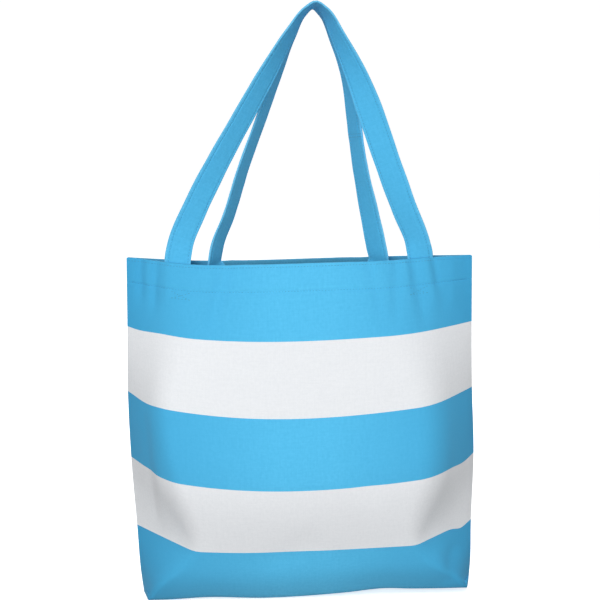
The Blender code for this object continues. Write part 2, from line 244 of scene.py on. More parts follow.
def cloth(q, path, side):
    """The middle of the hanging cloth, with its folds."""
    q, path = np.broadcast_arrays(np.asarray(q, float), np.asarray(path, float))
    place = wall(q, path, side)
    out = square_to(wall, q, path, side)[2]
    held = ease(1 - np.abs(q), 0.0, 0.035) * ease(path, 0.002, 0.020)
    rise = fold_rise(place[..., 0], path + ROUNDING - ROUNDING_PATH, side) + hem_pull(place[..., 0], path)
    return place + out * (rise * held)[..., None]


def under(q, path, side, inset):
    """Points a distance in from the middle of the cloth, and the way out of it."""
    q, path = np.broadcast_arrays(np.asarray(q, float), np.asarray(path, float))
    out = square_to(cloth, q, path, side)[2]
    return cloth(q, path, side) - out * inset, out


def run_along(points):
    """Distance along a line of points, from its first."""
    steps = np.linalg.norm(np.diff(points, axis=0), axis=1)
    return np.concatenate(([0], np.cumsum(steps)))


def even_columns(count):
    """Positions across a panel at equal lengths of cloth, closer at its ends, and where each lies on it."""
    fine = np.linspace(-1, 1, 1201)
    line = wall(fine, path_to(STRIPES[1]), -1)
    length = run_along(line)
    even = np.interp(np.linspace(0, length[-1], count + 1), length, fine)
    across = np.sort(np.concatenate((even, END_COLUMNS, -END_COLUMNS)))
    return across, np.interp(across, fine, length) - length[-1] / 2


ACROSS, ACROSS_LAY = even_columns(PANEL_COLUMNS)


def panel_rows(side):
    """Rows of points up the outside, over the rim and down the inside; with each row's path."""
    q = ACROSS[None, :]
    stops = [0.0, ROUNDING_PATH, *(path_to(s) for s in STRIPES), RIM_PATH - HEM_CLOSE, RIM_PATH - RIM_ROLL]
    outside = np.concatenate([np.linspace(low, high, count + 1)[:-1]
                              for low, high, count in zip(stops, stops[1:], OUTSIDE_ROWS)])
    foot = cloth(q, 0.0, side)
    rows = [foot + (0.0, 0.0, z) for z in FOOT_ALLOWANCE]
    paths = [-z for z in FOOT_ALLOWANCE]
    rows += list(cloth(q, outside[:, None], side)[:, None, :, :])
    paths += list(outside)
    for turn in np.linspace(0, math.pi, ROLL_ROWS):
        narrow = q * (1 - (1 - HEM_TAPER) * turn / math.pi)
        centre, out = under(narrow, RIM_PATH - RIM_ROLL, side, RIM_ROLL)
        up = square_to(cloth, narrow, np.full_like(narrow, RIM_PATH - RIM_ROLL), side)[1]
        rows.append(centre + out * RIM_ROLL * math.cos(turn) + up * RIM_ROLL * math.sin(turn))
        paths.append(RIM_PATH + RIM_ROLL * (turn - 1))
    for down in np.linspace(0.001, HEM_DEPTH, INSIDE_ROWS):
        rows.append(under(q * HEM_TAPER, RIM_PATH - RIM_ROLL - down, side, 2 * RIM_ROLL)[0])
        paths.append(RIM_PATH + RIM_ROLL * math.pi + down)
    return np.concatenate(rows), np.array(paths)


def with_allowances(rows, paths, side):
    """Adds the turned-in strip at each side of a panel."""
    hemmed = (paths > RIM_PATH - HEM_DEPTH) & (paths < RIM_PATH + 0.001)
    reach = np.where(hemmed, HEM_TRIM, 1.0)
    left, right = [], []
    for inward in SIDE_ALLOWANCE:
        for strip, end, sign in ((left, 0, 1), (right, -1, -1)):
            edge = rows[:, end].copy()
            edge[:, 0] += sign * inward * reach
            edge[:, 1] = side * SEAM_GAP
            strip.append(edge)
    return np.stack([*left[::-1], *np.moveaxis(rows, 1, 0), *right], axis=1)


SHARP = math.radians(55)     # folds sharper than this keep an edge


def made(name, points, faces, lay, materials):
    """A smooth piece in the scene; lay is each point's place on the flat cloth, kept as a UV map."""
    mesh = bpy.data.meshes.new(name)
    mesh.from_pydata(points.tolist(), [], faces)
    corners = np.zeros(len(mesh.loops), int)
    mesh.loops.foreach_get("vertex_index", corners)
    mesh.uv_layers.new(name="lay").data.foreach_set("uv", lay[corners].astype(np.float32).ravel())
    for material in materials:
        mesh.materials.append(material)
    mesh.shade_smooth()
    mesh.set_sharp_from_angle(angle=SHARP)
    piece = bpy.data.objects.new(name, mesh)
    bpy.context.scene.collection.objects.link(piece)
    return piece


def closed_sheet(name, middle, side, thickness, places, colour_of_row, materials):
    """One closed mesh from a grid of points through the middle of a cloth, with its lay as a UV map."""
    out = np.cross(np.gradient(middle, axis=1), np.gradient(middle, axis=0)) * -side
    out /= np.maximum(np.linalg.norm(out, axis=-1, keepdims=True), 1e-12)
    rows, columns = middle.shape[:2]
    points = np.concatenate([(middle + out * k * thickness / 2).reshape(-1, 3) for k in (1, -1)])
    index = np.arange(rows * columns).reshape(rows, columns)
    quad = np.stack((index[:-1, :-1], index[:-1, 1:], index[1:, 1:], index[1:, :-1]), axis=-1)
    quad = quad.reshape(-1, 4)
    if side > 0:
        quad = quad[:, ::-1]
    ring = np.concatenate((index[0, :-1], index[:-1, -1], index[-1, :0:-1], index[:0:-1, 0]))
    after = np.roll(ring, -1)
    half = rows * columns
    edge = np.stack((ring + half, after + half, after, ring), axis=-1)
    if side > 0:
        edge = edge[:, ::-1]
    faces = np.concatenate((quad, quad[:, ::-1] + half, edge))
    lay = np.concatenate((places.reshape(-1, 2), places.reshape(-1, 2)))
    piece = made(name, points, faces.tolist(), lay, materials)
    if colour_of_row is not None:
        per_face = np.repeat(colour_of_row, columns - 1)
        ring_rows = np.minimum(ring // columns, rows - 2)
        every = np.concatenate((per_face, per_face, colour_of_row[ring_rows]))
        piece.data.polygons.foreach_set("material_index", every.astype(np.int32))
    return piece


def join_up(tree, start, end):
    """One link, from (node, output) to (node, input)."""
    tree.links.new(start[0].outputs[start[1]], end[0].inputs[end[1]])


def maths(tree, operation, first, second=None):
    """A Math node on sockets or plain numbers; gives its output socket."""
    node = tree.nodes.new("ShaderNodeMath")
    node.operation = operation
    for slot, value in zip(node.inputs, (first, second)):
        if value is None:
            continue
        if isinstance(value, (int, float)):
            slot.default_value = value
        else:
            tree.links.new(value, slot)
    return node.outputs[0]


def mixed(tree, amount, first, second, blend="MIX"):
    """A colour mix of sockets or plain colours, by a socket; gives its output socket."""
    node = tree.nodes.new("ShaderNodeMix")
    node.data_type = "RGBA"
    node.blend_type = blend
    tree.links.new(amount, node.inputs["Factor"])
    for slot, value in (("A", first), ("B", second)):
        if isinstance(value, tuple):
            node.inputs[slot].default_value = (*value, 1)
        else:
            tree.links.new(value, node.inputs[slot])
    return node.outputs["Result"]


def bumped(tree, shader, height, strength, distance):
    """Raises a shader's surface by a height."""
    bump = tree.nodes.new("ShaderNodeBump")
    bump.inputs["Strength"].default_value = strength
    bump.inputs["Distance"].default_value = distance
    tree.links.new(height, bump.inputs["Height"])
    join_up(tree, (bump, "Normal"), (shader, "Normal"))


def sockets(group, inputs, outputs):
    """Named inputs and outputs of a node group, with a default value for each input."""
    for name, kind, value in inputs:
        socket = group.interface.new_socket(name=name, in_out="INPUT", socket_type=kind)
        if value is not None:
            socket.default_value = value
    for name, kind in outputs:
        group.interface.new_socket(name=name, in_out="OUTPUT", socket_type=kind)
    return group.nodes.new("NodeGroupInput"), group.nodes.new("NodeGroupOutput")


YARN_PITCH, YARN_RELIEF = 0.00075, 0.00018
YARN_CREST = 0.45                    # how flat a yarn's back is before it dives under the next
SLUB_STEP, SLUB_RATE, SLUB_RISE = 7.31, 0.035, 0.35  # from yarn to yarn, along a yarn, and in height


def plain_weave():
    """Shader group: one over, one under. Each yarn is rounded and has its own shade and slubs."""
    group = bpy.data.node_groups.new("plain weave", "ShaderNodeTree")
    given, result = sockets(
        group,
        (("Lay", "NodeSocketVector", None), ("Yarn pitch", "NodeSocketFloat", YARN_PITCH),
         ("Mottle size", "NodeSocketFloat", 0.0035)),
        (("Height", "NodeSocketFloat"), ("Gap", "NodeSocketFloat"), ("Yarn shade", "NodeSocketFloat"),
         ("Mottle", "NodeSocketFloat")))
    split = group.nodes.new("ShaderNodeSeparateXYZ")
    join_up(group, (given, "Lay"), (split, 0))
    counts = [maths(group, "DIVIDE", split.outputs[k], given.outputs["Yarn pitch"]) for k in (0, 1)]
    turns = [maths(group, "MULTIPLY", maths(group, "FRACT", c), math.pi) for c in counts]
    backs = [maths(group, "SINE", turn) for turn in turns]
    number = [maths(group, "FLOOR", c) for c in counts]
    over = maths(group, "FLOORED_MODULO", maths(group, "ADD", *number), 2.0)
    under_yarn = maths(group, "SUBTRACT", 1.0, over)
    warp = maths(group, "MULTIPLY", backs[0], maths(group, "POWER", backs[1], YARN_CREST))
    weft = maths(group, "MULTIPLY", backs[1], maths(group, "POWER", backs[0], YARN_CREST))
    height = maths(group, "ADD", maths(group, "MULTIPLY", warp, over),
                   maths(group, "MULTIPLY", weft, under_yarn))
    shades = []
    for across, along in ((number[0], counts[1]), (number[1], counts[0])):
        yarn = group.nodes.new("ShaderNodeCombineXYZ")
        group.links.new(maths(group, "MULTIPLY", across, SLUB_STEP), yarn.inputs[0])
        group.links.new(maths(group, "MULTIPLY", along, SLUB_RATE), yarn.inputs[1])
        slub = group.nodes.new("ShaderNodeTexNoise")
        slub.noise_dimensions = "2D"
        slub.inputs["Scale"].default_value = 1.0
        slub.inputs["Detail"].default_value = 2.0
        group.links.new(yarn.outputs[0], slub.inputs["Vector"])
        shades.append(slub.outputs[0])
    shade = maths(group, "ADD", maths(group, "MULTIPLY", shades[0], over),
                  maths(group, "MULTIPLY", shades[1], under_yarn))
    mottle = group.nodes.new("ShaderNodeTexNoise")
    mottle.noise_dimensions = "2D"
    mottle.inputs["Detail"].default_value = 4.0
    group.links.new(maths(group, "DIVIDE", 1.0, given.outputs["Mottle size"]), mottle.inputs["Scale"])
    join_up(group, (given, "Lay"), (mottle, "Vector"))
    slubbed = maths(group, "ADD", height, maths(group, "MULTIPLY", shade, SLUB_RISE))
    for value, name in ((slubbed, "Height"), (maths(group, "SUBTRACT", 1.0, height), "Gap"),
                        (shade, "Yarn shade"), (mottle.outputs[0], "Mottle")):
        group.links.new(value, result.inputs[name])
    return group


WEAVE = plain_weave()
SHADE_SPREAD = (0.32, 0.68)          # the noise between which the two dye shades change over
SIDE_SHADE_REACH = (0.030, 0.240)            # distances from the middle of the cloth between which the painted side shade deepens
GAP_SHARE, GAP_SHADE = 0.35, (0.62, 0.66, 0.70)       # painted shade in the gaps between the yarns: its share and its tint


def canvas(name, dark, light, pitch=YARN_PITCH, relief=YARN_RELIEF, worn=None, side_shade=None):
    """A woven cotton: two dye shades mixed by yarn and by mottling, with painted shade between the yarns.

    worn is the rubbed colour of folded edges; the last argument is painted shade, a darker colour laid on
    towards the cloth's two side seams.
    """
    material = bpy.data.materials.new(name)
    material.use_nodes = True
    tree = material.node_tree
    shader = tree.nodes["Principled BSDF"]
    shader.inputs["Specular IOR Level"].default_value = 0.16
    shader.inputs["Sheen Weight"].default_value = 0.05
    shader.inputs["Sheen Roughness"].default_value = 0.45
    lay = tree.nodes.new("ShaderNodeUVMap")
    lay.uv_map = "lay"
    weave = tree.nodes.new("ShaderNodeGroup")
    weave.node_tree = WEAVE
    weave.inputs["Yarn pitch"].default_value = pitch
    join_up(tree, (lay, 0), (weave, "Lay"))
    shade = maths(tree, "ADD", maths(tree, "MULTIPLY", weave.outputs["Yarn shade"], 0.55),
                  maths(tree, "MULTIPLY", weave.outputs["Mottle"], 0.45))
    spread = tree.nodes.new("ShaderNodeMapRange")
    for slot, value in zip(("From Min", "From Max"), SHADE_SPREAD):
        spread.inputs[slot].default_value = value
    tree.links.new(shade, spread.inputs["Value"])
    colour = mixed(tree, spread.outputs["Result"], dark, light)
    # painted shade: the colour darkens from the middle of the cloth towards its two side seams
    if side_shade is not None:
        place = tree.nodes.new("ShaderNodeSeparateXYZ")
        join_up(tree, (lay, 0), (place, 0))
        sideways = tree.nodes.new("ShaderNodeMapRange")
        for slot, value in zip(("From Min", "From Max"), SIDE_SHADE_REACH):
            sideways.inputs[slot].default_value = value
        tree.links.new(maths(tree, "ABSOLUTE", place.outputs[0]), sideways.inputs["Value"])
        colour = mixed(tree, sideways.outputs["Result"], colour, side_shade)
    if worn is not None:
        edge = tree.nodes.new("ShaderNodeAttribute")
        edge.attribute_name = "edge"
        rub = maths(tree, "MULTIPLY", edge.outputs["Fac"], weave.outputs["Mottle"])
        rub = maths(tree, "MULTIPLY", rub, 0.9)
        colour = mixed(tree, rub, colour, worn)
    # painted shade: the colour is darkened in the gaps between the yarns
    between = maths(tree, "MULTIPLY", weave.outputs["Gap"], GAP_SHARE)
    colour = mixed(tree, between, colour, GAP_SHADE, "MULTIPLY")
    tree.links.new(colour, shader.inputs["Base Color"])
    rough = maths(tree, "ADD", maths(tree, "MULTIPLY", weave.outputs["Yarn shade"], 0.14), 0.78)
    tree.links.new(rough, shader.inputs["Roughness"])
    bumped(tree, shader, weave.outputs["Height"], 0.5, relief)
    return material


# The blue canvas's last colour is painted shade, darker towards the side seams.
BLUE_CANVAS = canvas("blue canvas", (0.082, 0.490, 0.810), (0.106, 0.555, 0.880), side_shade=(0.050, 0.372, 0.660))
# A darker, greyer blue for the hem turned down inside the bag: painted shade for the inside, not a different
# cloth.
BLUE_INSIDE_PAINTED_SHADE = canvas("blue canvas painted inside shade", (0.078, 0.350, 0.540), (0.100, 0.400, 0.600))
WHITE_CANVAS = canvas("white canvas", (0.790, 0.808, 0.830), (0.845, 0.860, 0.880))

for label, side in (("front", -1), ("back", 1)):
    points, paths = panel_rows(side)
    middle = with_allowances(points, paths, side)
    allowance = np.array(SIDE_ALLOWANCE)
    lay_x = np.concatenate((ACROSS_LAY[0] - allowance[::-1], ACROSS_LAY, ACROSS_LAY[-1] + allowance))
    places = np.stack(np.broadcast_arrays(lay_x[None, :], paths[:, None]), axis=-1)
    between_rows = (paths[1:] + paths[:-1]) / 2
    band = np.searchsorted([path_to(s) for s in STRIPES], between_rows)
    # Rows in the stripes take the blue or white canvas; rows past the rim take the darker blue of painted
    # inside shade.
    stripe_and_inside_shade = np.where(between_rows > RIM_PATH, 2, band % 2)
    piece = closed_sheet(f"{label}_panel", middle, side, CLOTH, places, stripe_and_inside_shade,
                         (BLUE_CANVAS, WHITE_CANVAS, BLUE_INSIDE_PAINTED_SHADE))
    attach(piece, "bag")
    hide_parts(*(f"{label}_band_{name}" for name in (
        "blue_bottom", "white_lower", "blue_middle", "white_upper", "blue_top")), f"{label}_hem_facing")

# ------------------------------------------------------------------- the base
# The bottom is one boat-shaped piece of the same blue canvas, sewn in all round.
# Its edge turns up inside the bag against the panels' allowances.
BASE_SAG = 0.0003
BASE_INSET = 0.0013
BASE_SPAN = 0.985
BASE_TURN_UP = (0.0080, 0.0035, 0.0)          # rows of the edge that stands up inside the bag
BASE_LAY = (0.19, 0.03)                       # half the size of the piece as it lies flat
ACROSS_BASE = np.linspace(-BASE_SPAN, BASE_SPAN, 90)
BASE_STEPS = np.concatenate((-np.ones(3), np.linspace(-1, 1, 25)[1:-1], np.ones(3)))
BASE_RISES = np.concatenate((BASE_TURN_UP, np.zeros(23), BASE_TURN_UP[::-1]))
low = wall(ACROSS_BASE, 0.0, -1)
depth = np.maximum(np.abs(low[:, 1]) - BASE_INSET, 0.0004)
base_middle = np.tile(low, (len(BASE_STEPS), 1, 1))
base_middle[:, :, 1] = BASE_STEPS[:, None] * depth
base_middle[:, :, 2] += (BASE_RISES - BASE_SAG * (1 - BASE_STEPS**2))[:, None]
base_lay = np.stack(np.meshgrid(ACROSS_BASE * BASE_LAY[0], BASE_STEPS * BASE_LAY[1]), axis=-1)
base = closed_sheet("base_panel_cloth", base_middle, 1, CLOTH, base_lay, None, (BLUE_CANVAS,))
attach(base, "bag")
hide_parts("base_panel")

# ------------------------------------------------------------- the seam tapes
# The raw allowances of the side and base seams are bound in a folded blue cotton tape, inside the bag.
TAPE_HALF = 0.0014
TAPE_REACH = 0.0125
TAPE_FOLD = 0.0012                            # radius of the tape's fold
TAPE_BLUE = canvas("seam tape", (0.050, 0.290, 0.520), (0.080, 0.370, 0.620), pitch=0.00055, relief=0.00012)


def loft(name, rings, lays, material, body):
    """A closed skin over a run of rings of points, capped at both ends."""
    count, around = len(rings), len(rings[0])
    index = np.arange(count * around).reshape(count, around)
    after = np.roll(index, -1, axis=1)
    faces = np.stack((index[:-1], after[:-1], after[1:], index[1:]), axis=-1).reshape(-1, 4).tolist()
    faces += [index[0, ::-1].tolist(), index[-1].tolist()]
    points, lay = np.asarray(rings).reshape(-1, 3), np.asarray(lays).reshape(-1, 2)
    piece = made(name, points, faces, lay, (material,))
    if body:
        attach(piece, body)
    return piece


def tape_outline():
    """Cross-section of the folded tape: (across the seam, into the bag)."""
    fold = [(TAPE_HALF * math.cos(a), TAPE_FOLD * (1 - math.sin(a))) for a in np.linspace(0, math.pi, 7)]
    lips = [(-TAPE_HALF, 0.004), (-TAPE_HALF * 0.85, 0.008), (-TAPE_HALF, TAPE_REACH),
            (-TAPE_HALF * 0.4, TAPE_REACH + 0.0003), (TAPE_HALF * 0.4, TAPE_REACH + 0.0003),
            (TAPE_HALF, TAPE_REACH), (TAPE_HALF * 0.85, 0.008), (TAPE_HALF, 0.004)]
    return [(across, TAPE_REACH - down) for across, down in fold + lips]


def tape(name, foot, inward, square, nodes, reach=1.0):
    """A folded tape along a line of points; its fold stands furthest into the bag."""
    outline = tape_outline()
    rings = [[p + inward[k] * depth * reach + square[k] * across for across, depth in outline]
             for k, p in enumerate(foot)]
    run = run_along(foot)
    lays = [[(depth + across, r) for across, depth in outline] for r in run]
    piece = loft(name, rings, lays, TAPE_BLUE, "bag")
    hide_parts(*nodes)


for label, end in (("left", -1), ("right", 1)):
    run = np.linspace(ROUNDING_PATH + 0.004, RIM_PATH - HEM_DEPTH - 0.002, 60)
    foot = wall(end, run, 1)
    foot[:, 0] -= end * 0.0016
    foot[:, 1] = 0.00035 * np.sin(run / 0.017)
    inward = np.tile((-end, 0.0, 0.0), (len(run), 1))
    square = np.tile((0.0, 1.0, 0.0), (len(run), 1))
    tape(f"{label}_side_tape", foot, inward, square, (f"{label}_side_seam_tape",))
for label, side in (("front", -1), ("back", 1)):
    q = np.linspace(-0.90, 0.90, 80)
    foot = wall(q, 0.0, side)
    foot[:, 1] -= side * (BASE_INSET / 2 + 0.0002)
    foot[:, 2] += CLOTH / 2 + 0.0002
    inward = np.tile((0.0, 0.0, 1.0), (len(q), 1))
    square = np.tile((0.0, 1.0, 0.0), (len(q), 1))
    tape(f"{label}_base_tape", foot, inward, square, (f"{label}_base_seam_tape",), reach=0.75)

# ---------------------------------------------------------------- the handles
# Each handle is a strip of the blue canvas folded to four layers and sewn down both edges.
# Its ends run down inside the hem and are sewn flat through both layers; it hangs up by its middle.
STRAP_HALF, STRAP_THICK = 0.0150, 0.0013
EDGE_ROUND = 0.0009
STITCH_ROWS = (-0.0103, 0.0117)      # offsets of the outer and the inner row across the strap
GROOVE, GROOVE_HALF = 0.00042, 0.0006        # the groove along each row: depth and half width
STRAP_STEP = 0.0035                  # between rings of points along the strap
END_DROP = 0.0385                    # how far the sewn ends reach down from the rim
# From the rim, where the sewn end stops lying level and where the strap has all its own turn.
LEVEL = {"front": (-0.014, 0.006), "back": (-0.034, -0.005)}
BOW = {"front": 0.0, "back": 0.0125}         # how far the turned strap stands off the panel at the rim
SWAY = 0.0035                        # how far the handle's pull draws its ends sideways at the rim
# Each point: x, y, z and the turn of the strap about its own length, in degrees.
ROUTES = {
    "front": (
        (-0.1405, -0.0092, 0.4170, 3), (-0.1240, -0.0100, 0.4570, 16),
        (-0.0955, -0.0115, 0.5130, 30), (-0.0668, -0.0130, 0.5640, 38),
        (-0.0395, -0.0150, 0.6120, 48), (-0.0140, -0.0160, 0.6560, 66),
        (0.0025, -0.0162, 0.6800, 78), (0.0130, -0.0162, 0.6870, 82),
        (0.0235, -0.0162, 0.6790, 76), (0.0385, -0.0160, 0.6520, 63),
        (0.0580, -0.0150, 0.6120, 40), (0.0775, -0.0130, 0.5630, 14),
        (0.0965, -0.0115, 0.5100, 8), (0.1165, -0.0100, 0.4570, 22),
        (0.1325, -0.0092, 0.4170, 20)),
    "back": (
        (-0.0985, 0.0085, 0.4130, 61), (-0.0855, 0.0140, 0.4460, 63),
        (-0.0665, 0.0155, 0.5060, 65), (-0.0487, 0.0160, 0.5540, 66),
        (-0.0276, 0.0162, 0.6120, 68), (-0.0110, 0.0162, 0.6530, 74),
        (0.0035, 0.0162, 0.6780, 82), (0.0130, 0.0162, 0.6850, 86),
        (0.0225, 0.0162, 0.6780, 82), (0.0370, 0.0162, 0.6500, 74),
        (0.0508, 0.0162, 0.6120, 69), (0.0598, 0.0160, 0.5560, 66),
        (0.0672, 0.0155, 0.5060, 61), (0.0795, 0.0140, 0.4460, 50),
        (0.0860, 0.0085, 0.4130, 46)),
}
JOIN = {"back": 0.541}               # height of the lapped join in the back handle's right leg
RIGHT_LEG = 0.02                     # x past which a point of a handle is on its right leg
STRAP_BLUE = canvas("handle canvas", (0.068, 0.435, 0.745), (0.092, 0.500, 0.825), worn=(0.260, 0.650, 0.900))


def inside(x, path, side, inset):
    """A point on the inner face near the rim, found by its x."""
    x = np.asarray(x, float)
    q = x / np.where(x < 0, RIM_LEFT, RIM_RIGHT)
    return under(q, np.minimum(path, RIM_PATH), side, inset)[0]


def sewn_end(x, side, turn, bow):
    """Centres and turns of a strap's sewn end, from its tip up to the rim."""
    centres = []
    for down in np.linspace(END_DROP, 0.003, 9):
        freed = (1 - ease(down, 0.004, 0.032)) if bow else 0.0
        layers = 2 * RIM_ROLL * ease(HEM_DEPTH + 0.004 - down, 0.0, 0.008)
        away = x + math.copysign(SWAY, x) * (1 - down / END_DROP)
        centre = inside(away, RIM_PATH - down, side, CLOTH / 2 + layers + STRAP_THICK + 0.0003)
        centres.append((away, float(centre[1]) - side * bow * freed, float(centre[2]), turn * freed))
    return centres


# Along a handle: distance, middle, the ways across it and out of its face, and how far it follows the panel.
Strap = namedtuple("Strap", "run centre width face sewn")


def strap_run(label, side):
    """A handle from one sewn tip to the other."""
    route = ROUTES[label]
    ends = [sewn_end(foot[0], side, foot[3], BOW[label]) for foot in (route[0], route[-1])]
    whole = np.array(ends[0] + list(route) + ends[1][::-1], float)
    length = run_along(whole[:, :3])
    run = np.linspace(0, length[-1], int(length[-1] / STRAP_STEP) + 1)
    values = np.stack([smooth(run, length, whole[:, k]) for k in range(4)], axis=1)
    along = np.gradient(values[:, :3], run, axis=0)
    along /= np.linalg.norm(along, axis=1, keepdims=True)
    flat = np.cross((0.0, 1.0, 0.0), along)
    flat /= np.linalg.norm(flat, axis=1, keepdims=True)
    turn = np.radians(values[:, 3])[:, None]
    width = flat * np.cos(turn) + np.array((0.0, 1.0, 0.0)) * np.sin(turn)
    width -= along * np.sum(width * along, axis=1, keepdims=True)
    width /= np.linalg.norm(width, axis=1, keepdims=True)
    level = np.where(run < length[-1] / 2, 1.0, -1.0)
    top = RIM + FOOT_HEIGHT
    sewn = 1 - ease(values[:, 2], top + LEVEL[label][0], top + LEVEL[label][1])
    level_width = level[:, None] * np.array((1.0, 0.0, 0.0))
    width = width * (1 - sewn[:, None]) + level_width * sewn[:, None]
    width /= np.linalg.norm(width, axis=1, keepdims=True)
    face = np.cross(along, width)
    face /= np.linalg.norm(face, axis=1, keepdims=True)
    return Strap(run, values[:, :3], width, face, sewn)


def strap_place(side, strap, offset, depth):
    """Points at an offset across the strap and a depth from its middle, all along it."""
    place = strap.centre + strap.width * offset + strap.face * depth
    path = RIM_PATH + strap.centre[:, 2] - RIM - FOOT_HEIGHT + 0.004
    held = strap.sewn > 0.001
    x = strap.centre[held, 0]
    across = offset * np.sign(strap.width[held, 0])
    lean = inside(x + across, path[held], side, CLOTH) - inside(x, path[held], side, CLOTH)
    place[held, 1] += lean[:, 1] * strap.sewn[held]
    return place


def strap_outline():
    """Cross-section of the folded strap, (offset across, depth), grooved along each row of stitching."""
    flat = STRAP_HALF - EDGE_ROUND
    tops = sorted([*np.linspace(-flat, flat, 13),
                   *(row + d for row in STITCH_ROWS for d in (-0.0010, -0.0005, 0, 0.0005, 0.0010))])

    def rise(x):
        dip = sum(GROOVE * math.exp(-((x - row) / GROOVE_HALF) ** 2) for row in STITCH_ROWS)
        return STRAP_THICK - dip - 0.00025 * (x / STRAP_HALF) ** 4

    upper = [(x, rise(x)) for x in tops]
    round_right = [(flat + EDGE_ROUND * math.sin(a), rise(flat) * math.cos(a))
                   for a in np.linspace(0, math.pi, 7)[1:-1]]
    parting = len(round_right) // 2
    round_right[parting] = (STRAP_HALF - 0.00045, 0.0)      # the two folded edges meet here
    lower = [(x, -rise(x)) for x in reversed(tops)]
    round_left = [(-flat - EDGE_ROUND * math.sin(a), -rise(flat) * math.cos(a))
                  for a in np.linspace(0, math.pi, 7)[1:-1]]
    return upper + round_right + lower + round_left


straps = {}
for label, side in (("front", -1), ("back", 1)):
    strap = strap_run(label, side)
    straps[label] = strap
    run, centre = strap.run, strap.centre
    wobble = 1 + 0.012 * np.sin(run / 0.019) + 0.008 * np.sin(run / 0.0073 + 1)
    puff = 1 + 0.07 * np.sin(run / 0.0047 + 2 * np.sin(run / 0.021))
    if label in JOIN:
        joined = np.exp(-((centre[:, 2] - JOIN[label]) / 0.007) ** 8) * (centre[:, 0] > RIGHT_LEG)
        puff = puff + 0.22 * joined
        wobble = wobble + 0.02 * joined
    tips = ease(np.minimum(run, run[-1] - run), -0.0008, 0.0022)
    columns, lays, edges = [], [], []
    shaped = strap_place(side, strap, 0.0, 0.0)
    for offset, depth in strap_outline():
        sideways = strap_place(side, strap, offset, 0.0) - shaped
        columns.append(shaped + sideways * wobble[:, None] + strap.face * (depth * puff * tips)[:, None])
        lays.append(np.stack((np.full_like(run, offset + (0.05 if depth < 0 else 0.0)), run), axis=-1))
        edges.append(math.exp(-(STRAP_HALF - abs(offset)) / 0.0009))
    rings = np.stack(columns, axis=1)
    piece = loft(f"{label}_handle_cloth", rings, np.stack(lays, axis=1), STRAP_BLUE, None)
    rubbed = piece.data.attributes.new("edge", "FLOAT", "POINT")
    rubbed.data.foreach_set("value", np.tile(edges, len(run)).astype(np.float32))
    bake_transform(piece)
    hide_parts(f"{label}_handle_strap", f"{label}_handle_end_left", f"{label}_handle_end_right")

# -------------------------------------------------------------- the stitching
# Blue cotton-wrapped thread, lockstitched: two rows round the hem, a crossed box over each sewn end,
# two rows along each handle and the lapped join. Every stitch sinks into the cloth at its two holes.
STITCH, STITCH_SPACE = 0.0026, 0.0009
THREAD_RADIUS, STITCH_DIP = 0.00027, 0.00042


def stitch_tree():
    """Geometry Nodes: a bent stitch laid again and again along each line, its back to the cloth."""
    tree = bpy.data.node_groups.new("stitches along a line", "GeometryNodeTree")
    given, result = sockets(
        tree,
        (("Lines", "NodeSocketGeometry", None), ("Stitch length", "NodeSocketFloat", STITCH),
         ("Space", "NodeSocketFloat", STITCH_SPACE), ("Thread radius", "NodeSocketFloat", THREAD_RADIUS),
         ("Dip", "NodeSocketFloat", STITCH_DIP), ("Thread", "NodeSocketMaterial", None)),
        (("Stitches", "NodeSocketGeometry"),))
    add = tree.nodes.new
    link = tree.links.new

    lines = add("GeometryNodeMeshToCurve")
    link(given.outputs["Lines"], lines.inputs["Mesh"])
    spaced = add("GeometryNodeResampleCurve")
    spaced.mode = "LENGTH"
    link(lines.outputs[0], spaced.inputs["Curve"])
    link(maths(tree, "ADD", given.outputs["Stitch length"], given.outputs["Space"]), spaced.inputs["Length"])
    reach = maths(tree, "MULTIPLY", given.outputs["Stitch length"], 0.5)
    ends = []
    for sign in (-1.0, 1.0):
        place = add("ShaderNodeCombineXYZ")
        link(maths(tree, "MULTIPLY", reach, sign), place.inputs[0])
        link(maths(tree, "MULTIPLY", given.outputs["Dip"], -1.0), place.inputs[2])
        ends.append(place.outputs[0])
    crest = add("ShaderNodeCombineXYZ")
    link(given.outputs["Dip"], crest.inputs[2])
    bent = add("GeometryNodeCurveQuadraticBezier")
    bent.inputs["Resolution"].default_value = 4
    for slot, value in (("Start", ends[0]), ("Middle", crest.outputs[0]), ("End", ends[1])):
        link(value, bent.inputs[slot])
    circle = add("GeometryNodeCurvePrimitiveCircle")
    circle.inputs["Resolution"].default_value = 6
    link(given.outputs["Thread radius"], circle.inputs["Radius"])
    stitch = add("GeometryNodeCurveToMesh")
    stitch.inputs["Fill Caps"].default_value = True
    link(bent.outputs[0], stitch.inputs["Curve"])
    link(circle.outputs[0], stitch.inputs["Profile Curve"])
    tangent = add("GeometryNodeInputTangent")
    out = add("GeometryNodeInputNamedAttribute")
    out.data_type = "FLOAT_VECTOR"
    out.inputs["Name"].default_value = "out"
    turned = add("FunctionNodeAxesToRotation")
    turned.primary_axis, turned.secondary_axis = "X", "Z"
    link(tangent.outputs[0], turned.inputs[0])
    link(out.outputs[0], turned.inputs[1])
    size = add("FunctionNodeRandomValue")
    size.data_type = "FLOAT"
    size.inputs["Min"].default_value = 0.90
    size.inputs["Max"].default_value = 1.05
    size.inputs["Seed"].default_value = 11
    laid = add("GeometryNodeInstanceOnPoints")
    link(spaced.outputs[0], laid.inputs["Points"])
    link(stitch.outputs[0], laid.inputs["Instance"])
    link(turned.outputs[0], laid.inputs["Rotation"])
    link([o for o in size.outputs if o.enabled][0], laid.inputs["Scale"])
    real = add("GeometryNodeRealizeInstances")
    link(laid.outputs[0], real.inputs[0])
    thread = add("GeometryNodeSetMaterial")
    link(real.outputs[0], thread.inputs["Geometry"])
    link(given.outputs["Thread"], thread.inputs["Material"])
    link(thread.outputs[0], result.inputs["Stitches"])
    return tree


